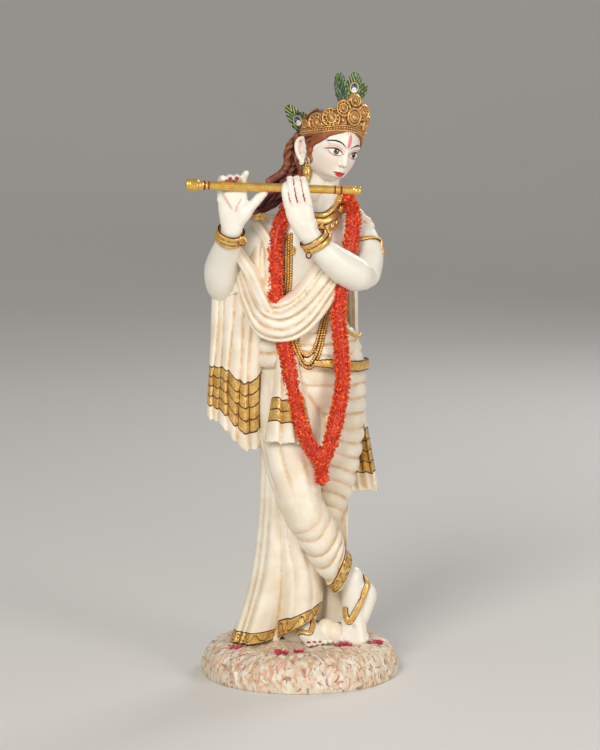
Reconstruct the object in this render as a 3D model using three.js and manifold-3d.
// A flute player in the Krishna pose: one painted casting of a standing figure on a low mound, with a
// loose flute in its hands. Millimetres, +Z up, the viewer at -Y, the origin under the middle of the mound.
import * as THREE from "three";
import { mergeVertices } from "three/addons/utils/BufferGeometryUtils.js";
import Module from "manifold-3d";

const wasm = await Module();
wasm.setup();

// Sizes of the mound, the figure and the flute
const moundRadius = 54;
const moundHeight = 18;
const moundEdgeHeight = 4;
const figureHeight = 302; // from the top of the mound to the tip of the tallest feather
const fluteLength = 92;
const fluteRadius = 2.2;
const fluteKnobRadius = 3.4;
const fluteKnobLength = 6.5;
const fluteRingWidth = 1.2;
const fluteRingHeight = 0.35;
const fluteRingGap = 2.4;
const handClearance = 0.3; // all round the flute where a hand holds it

// The pose is drawn for a figure 302 high, and scales with the real one
const scale = figureHeight / 302;

// Small helpers
const mergeDistance = 1e-3;
const degrees = Math.PI / 180;
const mix = (a, b, t) => a + (b - a) * t;
const mixAll = (a, b, t) => a.map((value, i) => mix(value, b[i], t));
const vector = ([x, y, z]) => new THREE.Vector3(x, y, z);
const sideways = [1, 0, 0];
const upwards = [0, 0, 1];
const shares = (count) => Array.from({ length: count }, (_, i) => i / (count - 1));

function meshGeometry(points, triangles) {
  const geometry = new THREE.BufferGeometry();
  geometry.setAttribute("position", new THREE.Float32BufferAttribute(points.flat(), 3));
  geometry.setIndex(triangles);
  return geometry;
}

function solid(geometry) {
  const bare = geometry.clone();
  bare.deleteAttribute("normal");
  bare.deleteAttribute("uv");
  const merged = mergeVertices(bare, mergeDistance);
  return new wasm.Manifold(
    new wasm.Mesh({
      numProp: 3,
      vertProperties: merged.attributes.position.array,
      triVerts: new Uint32Array(merged.index.array),
    }),
  );
}

function facingOut(geometry) {
  const made = solid(geometry);
  return made.volume() > 0 ? made : solid(geometry.setIndex([...geometry.index.array].reverse()));
}

const join = (solids) => solids.reduce((whole, next) => whole.add(next));

function geometryOf(manifold) {
  const mesh = manifold.getMesh();
  const geometry = new THREE.BufferGeometry();
  geometry.setAttribute("position", new THREE.BufferAttribute(mesh.vertProperties, 3));
  geometry.setIndex(new THREE.BufferAttribute(mesh.triVerts, 1));
  return geometry;
}

// A closed skin over rings of points, all with the same count, with a fan to a tip over each end
function loft(rings, tips) {
  const sides = rings[0].length;
  const points = rings.flat();
  const [first, last] = tips.map((tip) => points.push(tip) - 1);
  const top = (rings.length - 1) * sides;
  const triangles = [];
  for (let j = 0; j < sides; j++) {
    const k = (j + 1) % sides;
    triangles.push(first, k, j, last, top + j, top + k);
    for (let i = 0; i < top; i += sides) {
      triangles.push(i + j, i + k, i + sides + k, i + j, i + sides + k, i + sides + j);
    }
  }
  return facingOut(meshGeometry(points, triangles));
}

const fold = (share) => Math.abs(Math.sin(Math.PI * share)) ** 0.6;
const curveThrough = (places) => new THREE.CatmullRomCurve3(places.map(vector), false, "catmullrom", 0.5);

// A limb, roll or lock: a tube of oval section through stations [x, y, z, half width, half depth].
// wide is the way the width runs, domed rounds both ends, and relief swells the skin along and round it.
function limb(stations, { sides = 8, steps = 2, wide = sideways, domed = 0, relief } = {}) {
  const curve = curveThrough(stations.map(([x, y, z]) => [x, y, z]));
  const girth = curveThrough(stations.map(([, , , width, depth]) => [width, depth ?? width, 0]));
  const ring = (t, shift, share) => {
    const along = curve.getTangent(t);
    const size = girth.getPoint(t);
    const across = vector(wide).addScaledVector(along, -along.dot(vector(wide))).normalize();
    const deep = new THREE.Vector3().crossVectors(along, across);
    const middle = curve.getPoint(t).addScaledVector(along, shift * Math.min(size.x, size.y) * domed);
    return Array.from({ length: sides }, (_, j) => {
      const angle = (2 * Math.PI * j) / sides;
      const swell = share * (relief ? relief(t, angle) : 1);
      const point = middle.clone().addScaledVector(across, Math.cos(angle) * size.x * swell);
      return point.addScaledVector(deep, Math.sin(angle) * size.y * swell).toArray();
    });
  };
  const tip = (t, shift) => {
    const reach = shift * domed * girth.getPoint(t).x;
    return curve.getPoint(t).addScaledVector(curve.getTangent(t), reach).toArray();
  };
  const rings = shares((stations.length - 1) * steps + 1).map((t) => ring(t, 0, 1));
  if (domed) {
    rings.unshift(ring(0, -0.6, 0.7));
    rings.push(ring(1, 0.6, 0.7));
  }
  return loft(rings, [tip(0, -0.9), tip(1, 0.9)]);
}

// Cloth in round folds that run along it. Each station is [one edge, the other edge, bow]: bow is how far
// and which way the middle stands out, and the folds swell the same way. The back lies in the body, and
// sway moves every second ring to one side or the other, as in curled hair.
function folds(count, stations, { steps = 1, swell = 2.6, back = 7, perFold = 3, sway = 0 } = {}) {
  const [from, to, bow] = [0, 1, 2].map((part) => curveThrough(stations.map((station) => station[part])));
  const rings = shares((stations.length - 1) * steps + 1).map((t, i) => {
    const [a, b, arch] = [from, to, bow].map((curve) => curve.getPoint(t));
    const out = arch.clone().normalize();
    const aside = b.clone().sub(a).setLength(sway * Math.sin((Math.PI * i) / 2));
    const across = (u, lift) =>
      a.clone().lerp(b, u).add(aside).addScaledVector(arch, 4 * u * (1 - u)).addScaledVector(out, lift);
    const front = shares(count * perFold + 1).map((u) => across(u, swell * fold(count * u)));
    return [...front, across(0.85, -back), across(0.15, -back)].map((point) => point.toArray());
  });
  const middle = (ring) => mixAll(ring[Math.floor(ring.length / 2) - 1], ring.at(-1), 0.5);
  return loft(rings, [middle(rings[0]), middle(rings.at(-1))]);
}

// A closed plate between an outer and an inner face, each a function of two shares from 0 to 1
function plate(outer, inner, columns, rows) {
  const sides = columns + 1;
  const size = sides * (rows + 1);
  const points = [outer, inner].flatMap((face) =>
    shares(rows + 1).flatMap((v) => shares(sides).map((u) => face(u, v))),
  );
  const triangles = [];
  const quad = (a, b, c, d) => triangles.push(a, b, c, a, c, d);
  for (let j = 0; j < rows; j++) {
    const row = j * sides;
    for (let i = row; i < row + columns; i++) {
      quad(i, i + 1, i + 1 + sides, i + sides);
      quad(i + size, i + sides + size, i + 1 + sides + size, i + 1 + size);
    }
    quad(row, row + sides, row + sides + size, row + size);
    quad(row + columns, row + columns + size, row + columns + sides + size, row + columns + sides);
  }
  for (let i = 0; i < columns; i++) {
    const top = rows * sides + i;
    quad(i, i + size, i + 1 + size, i + 1);
    quad(top, top + 1, top + 1 + size, top + size);
  }
  return facingOut(meshGeometry(points, triangles));
}

function egg([x, y, z], [rx, ry, rz], columns = 8, rows = 6) {
  const ball = new THREE.SphereGeometry(1, columns, rows).rotateX(Math.PI / 2);
  return solid(ball.scale(rx, ry, rz).translate(x, y, z));
}

// The body under the cloth, turned a little to the viewer's right
const bodyTurn = 22 * degrees;
const bodyWide = [Math.cos(bodyTurn), Math.sin(bodyTurn), 0];

function torso() {
  const trunk = [
    [8, -2, 104, 17, 12],
    [8, 0, 124, 26, 16.5],
    [7, 1, 146, 26, 17],
    [6, 0, 163, 19.5, 14.5],
    [6, 0, 182, 20, 14],
    [6, 1, 202, 25, 16],
    [6.5, 2, 216, 24, 12],
    [10, 1, 226, 11, 9],
    [13, 1, 236, 7.5, 7.5],
    [14, 0, 248, 7.5, 7.5],
  ];
  return limb(trunk, { sides: 10, steps: 1, wide: bodyWide });
}

function arms() {
  const rightUpper = [[-19, -8, 218, 9], [-29, -3, 203, 8], [-39, 1, 190, 8]];
  const rightLower = [
    [-40, 0, 185, 8.4], [-41, -9, 198, 8.6], [-37.5, -22, 212, 6], [-35, -30, 221, 5, 4.6],
  ];
  const leftUpper = [[27, 9, 219, 9.5], [34, 2, 207, 8.6], [33, -14, 196, 8]];
  const leftLower = [[31, -17, 195.5, 8.6], [20, -24, 203.5, 8], [10, -30, 212.5, 6.3], [4, -32, 219, 5]];
  const upper = [rightUpper, leftUpper].map((stations) => limb(stations));
  const lower = [rightLower, leftLower].map((stations) => limb(stations, { steps: 1, domed: 0.8 }));
  return [...upper, ...lower];
}

// Four fingers side by side are one folded piece, from the knuckles to the tips
const fingers = (stations) => folds(4, stations, { swell: 1.7, back: 1.6, perFold: 2 });
const thumb = (places, radius) =>
  limb(places.map((place) => [...place, radius]), { sides: 5, steps: 1, domed: 0.8 });

function rightHand() {
  const palm = [[-35, -30, 221, 5, 4], [-34, -30.5, 229, 7.4, 3.6], [-34, -31, 238, 7.2, 3]];
  const curled = [
    [[-41.5, -32, 236], [-27, -32, 236], [0, -0.6, 0]],
    [[-42, -34, 244], [-26.5, -34, 247], [0, -0.6, 0]],
    [[-41.5, -36.5, 249], [-25, -34, 253], [0, -0.6, 0.4]],
  ];
  const spread = [[-30, -30.5, 231], [-24.5, -31.5, 236], [-20, -31, 242]];
  return [limb(palm), fingers(curled), thumb(spread, 2.4)];
}

function leftHand() {
  const palm = [[4, -32, 219, 5, 4.4], [0, -31, 228, 7.2, 4], [-1, -29.5, 236, 7, 3.4]];
  const upright = [
    [[-8, -31.5, 234], [6, -31.5, 233], [0, -0.6, 0]],
    [[-8.2, -35, 241.5], [6, -35, 240.5], [0, -0.6, 0]],
    [[-8, -32, 248], [5, -32, 247], [0, -0.6, 0]],
  ];
  const behind = [[3, -28, 230], [2, -24, 238], [-1, -23.5, 243]];
  return [limb(palm), fingers(upright), thumb(behind, 2.2)];
}

// The standing leg behind, gathered in level folds, and the crossing leg in front, wrapped below its knee
function legs() {
  const standing = [
    [20, 5, 143, 14.5, 14],
    [20, 5, 118, 14, 14],
    [18, 5, 92, 12.5, 13],
    [12, 6, 66, 10.5, 11],
    [5, 5, 40, 11, 11],
    [-0.5, -2, 14, 11, 11],
  ];
  const gathered = 0.62;
  const gathers = (t, angle) => {
    const depth = t < gathered ? 0.09 : 0.018;
    return 0.93 + depth * fold(t * 16 + 0.25 * Math.sin(angle));
  };
  const thigh = [
    [-5, -2, 140, 17, 15],
    [-4, -5, 118, 18, 15],
    [-3, -12, 96, 15, 13],
    [0, -17.5, 78, 12, 11.5],
    [5, -18, 68, 11.5, 11],
  ];
  const shin = [
    [4, -18, 71, 11.6, 11],
    [9.5, -15.5, 58, 11.2, 10.5],
    [16, -11.5, 46, 10.5, 10],
    [22.5, -7.5, 36, 8.6, 8.6],
    [27, -5, 29, 7.6, 7.6],
  ];
  const wraps = (t, angle) => 0.93 + 0.1 * fold(t * 5 + 0.35 * Math.sin(angle + 0.8));
  return [
    limb(standing, { sides: 8, steps: 4, relief: gathers }),
    limb(thigh, { sides: 10 }),
    limb(shin, { sides: 8, steps: 4, relief: wraps }),
  ];
}

function feet() {
  const crossing = [[28.5, -4.5, 30, 6], [28, -5, 18, 5.8], [28.5, -7, 9, 6.4], [29, -9, 1, 6.6, 5]];
  const heel = [[29, -2, 26, 5], [36, 1.5, 25, 4.6], [35, 1, 14, 3.8]];
  const standing = [[0, -4, 10, 6], [3, -10, 5, 6.4, 4.4], [7, -16, 2, 6.2, 3]];
  const toes = [
    [[22, -9, 6], [36, -6, 6], [0, -1, 0]],
    [[21.5, -14, 2], [36.5, -10, 2], [0, -1, 0]],
    [[22, -13, -1], [36, -9, -1], [0, -1, 0]],
  ];
  const anklet = [[25, -12, 16, 1.6], [31, -12, 14, 1.7], [38, -1, 28, 1.4]];
  const rounded = { sides: 7, steps: 1, domed: 0.6 };
  return [
    ...[crossing, heel, standing].map((stations) => limb(stations, rounded)),
    folds(5, toes, { swell: 1.6, perFold: 2 }),
    limb(anklet, { sides: 5 }),
  ];
}

function robe() {
  const fall = [
    [[-21, 6, 142], [-9, -10, 142], [-4, -4, 0]],
    [[-19, 5, 100], [-12, -8, 100], [-3, -3, 0]],
    [[-22, 3, 60], [-13, -9, 62], [-3, -3, 0]],
    [[-26, 2, 30], [-14, -10, 30], [-3, -3, 0]],
    [[-35, -3, -1], [-14, -12, -1], [-3, -4, 0]],
  ];
  const back = [
    [[-12, 4, 168], [20, 7, 168], [0, 6, 0]],
    [[-19, 7, 146], [26, 12, 146], [0, 7, 0]],
    [[-19, 7, 80], [21, 12, 80], [0, 7, 0]],
    [[-32, 2, -1], [10, 8, -1], [0, 9, 0]],
  ];
  const panel = [
    [[-14, -17, 158], [-1, -18, 158], [0, -2, 0]],
    [[-15, -21, 134], [2, -22, 134], [0, -2, 0]],
    [[-19, -22, 108], [7, -21, 110], [0, -3, 0]],
  ];
  const hem = [[-12, -11, 5, 4.5, 2], [-5, -15, 9, 6, 2.4], [3, -14, 14, 6, 2.4], [10, -7, 18, 4.5, 2]];
  return [
    folds(5, fall),
    folds(5, back, { perFold: 2 }),
    folds(3, panel, { steps: 2 }),
    limb(hem, { sides: 6, domed: 0.6, wide: upwards }),
  ];
}

function waist() {
  const knot = [
    [[-19, 5, 169], [-20, 5, 146], [-2, 0, 0]],
    [[-14, -9, 171], [-16, -9, 149], [-2, -2, 0]],
    [[-4, -16, 171], [-6, -15, 154], [0, -2, 0]],
  ];
  const sash = [
    [[8, -17, 167], [8, -17, 146], [0, -1, 0]],
    [[22, -11, 168], [24, -11, 146], [1, -2, 0]],
    [[26, 4, 167], [31, 4, 144], [2, 0, 0]],
  ];
  return [knot, sash].map((stations) => folds(3, stations, { steps: 2 }));
}

// The shawl: swags across the belly, folds over one shoulder, a fall from each arm, and the back
function shawl() {
  const swags = [
    [[13, -12, 214], [28, -6, 200], [1, -3, 0]],
    [[4, -19, 193], [15, -18, 176], [0, -3, 0]],
    [[-10, -20, 184], [-6, -20, 165], [0, -3, 0]],
    [[-24, -13, 208], [-33, -8, 189], [-1, -2, 0]],
  ];
  const shoulder = [
    [[-13, 3, 226], [-22, 3, 223], [0, 0, 2]],
    [[-15, -14, 214], [-27, -10, 209], [-1, -3, 1]],
    [[-18, -14, 199], [-32, -7, 195], [-1, -2, 0]],
  ];
  const armFall = [
    [[-48, -2, 188], [-17, -8, 188], [-1, -3, 0]],
    [[-52, -1, 152], [-17, -7, 150], [-1, -3, 0]],
    [[-51, -2, 120], [-19, -9, 100], [-1, -3, 0]],
  ];
  const backFall = [
    [[14, 11, 212], [29, 8, 208], [2, 3, 0]],
    [[16, 14, 176], [32, 9, 176], [1, 4, 0]],
    [[18, 16, 146], [34, 12, 146], [1, 4, 0]],
    [[20, 16, 110], [36, 12, 110], [1, 4, 0]],
    [[26, 12, 78], [40, 9, 82], [1, 4, 0]],
  ];
  const back = [
    [[28, 6, 226], [30, 12, 206], [2, 4, 0]],
    [[14, 14, 218], [18, 18, 190], [1, 4, 0]],
    [[-8, 14, 210], [-6, 16, 182], [0, 4, 0]],
    [[-24, 8, 206], [-26, 8, 184], [-1, 4, 0]],
    [[-38, 2, 200], [-42, 2, 186], [-1, 3, 0]],
  ];
  const behind = { perFold: 2 };
  return [
    folds(5, swags, { ...behind, steps: 2 }),
    folds(3, shoulder, behind),
    folds(5, armFall),
    folds(4, backFall, behind),
    folds(5, back, behind),
  ];
}

// The flower garland: two strands from the neck that meet over the thighs in a tassel
function garland() {
  const left = [
    [20, 6, 236], [27, -5, 232], [27, -11, 218], [23, -16, 197], [20, -18, 177],
    [22, -19.5, 152], [21.5, -20, 135], [16, -24.5, 110], [11, -26, 99], [11.5, -25, 87],
  ];
  const right = [
    [4, 6, 236], [-6, -8, 231], [-12, -16, 216], [-12.5, -18, 197], [-12.5, -18, 178],
    [-7, -20, 156], [-3.5, -23, 136], [2.5, -27, 114], [11, -26, 99],
  ];
  return [left, right].map((places) => limb(places.map((place) => [...place, 4.8]), { sides: 5 }));
}

// The head stands in its own frame: x to the viewer's right of the face, -y out of the face, z up
const headPlace = [15.7, -3, 261];
const headTurn = 35 * degrees;
const headTilt = 14 * degrees;
const headNod = 6 * degrees;
const headMatrix = new THREE.Matrix4()
  .makeTranslation(...headPlace)
  .multiply(new THREE.Matrix4().makeRotationY(headTilt))
  .multiply(new THREE.Matrix4().makeRotationZ(headTurn))
  .multiply(new THREE.Matrix4().makeRotationX(headNod));

function head() {
  const skull = egg([0, 3, 5], [14.8, 17, 17], 10, 6);
  const jaw = [[0, -2, 8, 13.4, 14.5], [0, -2, -6, 12.2, 13], [0, -6, -15, 7.4, 8]];
  const nose = [[0, -15.4, 4, 1.2, 1.4], [0, -18, -5, 2.3, 2.2]];
  const ear = (side) => [
    [side * 13.6, 0, 4, 1.6, 3.4],
    [side * 14, 0, -5, 1.8, 2.4],
    [side * 13.6, -1, -15, 2, 2.4],
  ];
  return [
    skull,
    limb(jaw, { sides: 10, domed: 0.5 }),
    limb(nose, { sides: 5, steps: 1, domed: 0.6 }),
    egg([0, -15, -12], [3.6, 1.8, 1.8], 6, 4),
    ...[-1, 1].map((side) => limb(ear(side), { sides: 5, steps: 1, domed: 1 })),
  ];
}

// The crown: a band round the brow whose top edge runs up in lobes to a peak in front
const crownSpan = 112 * degrees;
const crownLobes = 7;

function crown() {
  const face = (out) => (u, v) => {
    const angle = mix(-crownSpan, crownSpan, u);
    const front = Math.cos(angle / 2) ** 2;
    const lobe = fold(u * crownLobes);
    const z = mix(3 + 8 * front ** 1.4, 13 + 6 * front ** 2 + 10 * front ** 14 + 3 * lobe, v);
    const lean = 1 + 0.04 * v;
    const back = 3.5 * v * front ** 8;
    return [Math.sin(angle) * (13.4 * lean + out), 3 + back - Math.cos(angle) * (15.2 * lean + out), z];
  };
  return [plate(face(2.2), face(-1.6), crownLobes * 2, 2), egg([0, -17.5, 19], [3, 2.4, 3.4], 6, 4)];
}

// Curled locks that fall from the back of the head over the shoulders
function locks() {
  const fall = [
    [[-3, -2, 268], [27, 6, 266], [1, 9, 0]],
    [[-8, 2, 252], [26, 8, 250], [0, 11, 0]],
    [[-13, 2, 238], [25, 8, 238], [0, 13, 0]],
    [[-22, -1, 225], [26, 8, 226], [0, 16, 0]],
  ];
  return [folds(6, fall, { steps: 2, swell: 3.4, perFold: 2, sway: 1.4 })];
}

// A peacock feather is a thin leaf on its root, with a length, a half width and a lean to the side
function feather([x, y, z], length, halfWidth, lean) {
  const halfThickness = 1.1;
  const face = (side) => (u, v) => {
    const breadth = halfWidth * Math.sin(Math.PI * mix(0.12, 0.98, v)) ** 0.7;
    return [x + mix(-breadth, breadth, u) + lean * v * length, y + side * halfThickness, z + v * length];
  };
  return plate(face(-1), face(1), 2, 6);
}

const feathers = () => [
  feather([24, -3, 278], 22.5, 3.6, -0.18),
  feather([26.5, -3.6, 278], 24, 5.2, 0.06),
  feather([4, 5, 266], 19, 5.2, -0.42),
];

// A broad ring round a limb, from one side of the limb's bend to the other
const band = (from, to, radius) => limb([[...from, radius], [...to, radius]], { steps: 1 });

// Bangles, an armlet, and a collar whose lower edge hangs in drops
function jewels() {
  const collar = [
    [[3, 2, 236], [1, -1, 232], [-1, -1, 0]],
    [[6, -9, 231], [4, -12, 225], [-1, -2, 0]],
    [[14, -13, 228], [14, -15.5, 218], [0, -2, 0]],
    [[21, -9, 233], [23, -11, 227], [2, -2, 0]],
    [[21, 2, 240], [23, 0, 238], [2, 0, 0]],
  ];
  return [
    band([-37.2, -23, 213], [-35.6, -28, 218.2], 7.6),
    band([11.5, -29, 211], [6.5, -31, 216.5], 7.6),
    band([34.2, 1, 206.4], [34.6, -1.6, 204], 9.8),
    folds(3, collar, { swell: 1.4, back: 3, perFold: 2 }),
  ];
}

// The flute is a turned rod along its own y, and lies in a channel through both hands
const fluteMiddle = [-12.8, -30.5, 243];
const fluteAim = [91, 15, -4];
const fluteMatrix = new THREE.Matrix4().compose(
  vector(fluteMiddle).multiplyScalar(scale).add(vector([0, 0, moundHeight])),
  new THREE.Quaternion().setFromUnitVectors(new THREE.Vector3(0, 1, 0), vector(fluteAim).normalize()),
  new THREE.Vector3(1, 1, 1),
);

function turnedRod(margin) {
  const sides = 10;
  const half = fluteLength / 2;
  const bore = fluteRadius + margin;
  const knob = fluteKnobRadius + margin;
  const ridge = bore + fluteRingHeight;
  const ringFrom = (start) => {
    const end = start + fluteRingWidth;
    return [[bore, start], [ridge, start], [ridge, end], [bore, end]];
  };
  const knobEnd = -half + fluteKnobLength;
  const profile = [
    [0, -half - margin],
    [knob * 0.8, -half - margin],
    [knob, -half + 1],
    [knob, knobEnd - 1.5],
    [bore, knobEnd],
    ...ringFrom(knobEnd + fluteRingGap),
    ...ringFrom(half - fluteRingGap - fluteRingWidth),
    [bore, half + margin],
    [0, half + margin],
  ];
  return new THREE.LatheGeometry(profile.map(([r, y]) => new THREE.Vector2(r, y)), sides);
}

// The mound: a low round heap with an uneven edge and a flat underside
function mound() {
  const sides = 28;
  const profile = [
    [0, 0],
    [moundRadius - 1.5, 0],
    [moundRadius, moundEdgeHeight],
    [moundRadius - 2.5, moundHeight * 0.6],
    [moundRadius * 0.84, moundHeight * 0.9],
    [moundRadius * 0.6, moundHeight],
    [0, moundHeight],
  ];
  const heap = new THREE.LatheGeometry(profile.map(([r, z]) => new THREE.Vector2(r, z)), sides);
  heap.rotateX(Math.PI / 2);
  const place = heap.attributes.position;
  for (let i = 0; i < place.count; i++) {
    const [x, y, z] = [place.getX(i), place.getY(i), place.getZ(i)];
    const angle = Math.atan2(y, x);
    const ripple = 1 + 0.012 * Math.sin(7 * angle) + 0.01 * Math.sin(13 * angle + z);
    const onSlope = z > moundEdgeHeight * 1.5 && z < moundHeight * 0.99;
    place.setXYZ(i, x * ripple, y * ripple, z + (onSlope ? 0.5 * Math.sin(11 * angle + x * 0.3) : 0));
  }
  return solid(heap);
}

const onHead = (pieces) => pieces.map((piece) => piece.transform(headMatrix.toArray()));
const onMound = new THREE.Matrix4().makeTranslation(0, 0, moundHeight).multiply(
  new THREE.Matrix4().makeScale(scale, scale, scale),
);

// Closed hollows between the folds are filled: only the outer skin is kept
function outerSkin(whole) {
  const skins = solid(geometryOf(whole)).decompose();
  return skins.reduce((a, b) => (b.volume() > a.volume() ? b : a));
}

function figureOnMound() {
  const figure = join([
    torso(),
    ...arms(),
    ...rightHand(),
    ...leftHand(),
    ...legs(),
    ...feet(),
    ...robe(),
    ...waist(),
    ...shawl(),
    ...garland(),
    ...jewels(),
    ...locks(),
    ...onHead([...head(), ...crown()]),
    ...feathers(),
  ]).transform(onMound.toArray());
  const channel = solid(turnedRod(handClearance)).transform(fluteMatrix.toArray());
  return geometryOf(outerSkin(figure.add(mound()).subtract(channel)));
}

const statue = new THREE.Group();

const castMaterial = new THREE.MeshStandardMaterial({ color: 0xe9dfcd, roughness: 0.45, metalness: 0 });
const casting = new THREE.Mesh(figureOnMound(), castMaterial);
casting.name = "figure_on_mound";
statue.add(casting);

const goldMaterial = new THREE.MeshStandardMaterial({ color: 0xb8893a, roughness: 0.35, metalness: 0.8 });
const flute = new THREE.Mesh(turnedRod(0), goldMaterial);
flute.name = "flute";
flute.applyMatrix4(fluteMatrix);
statue.add(flute);

export default statue;
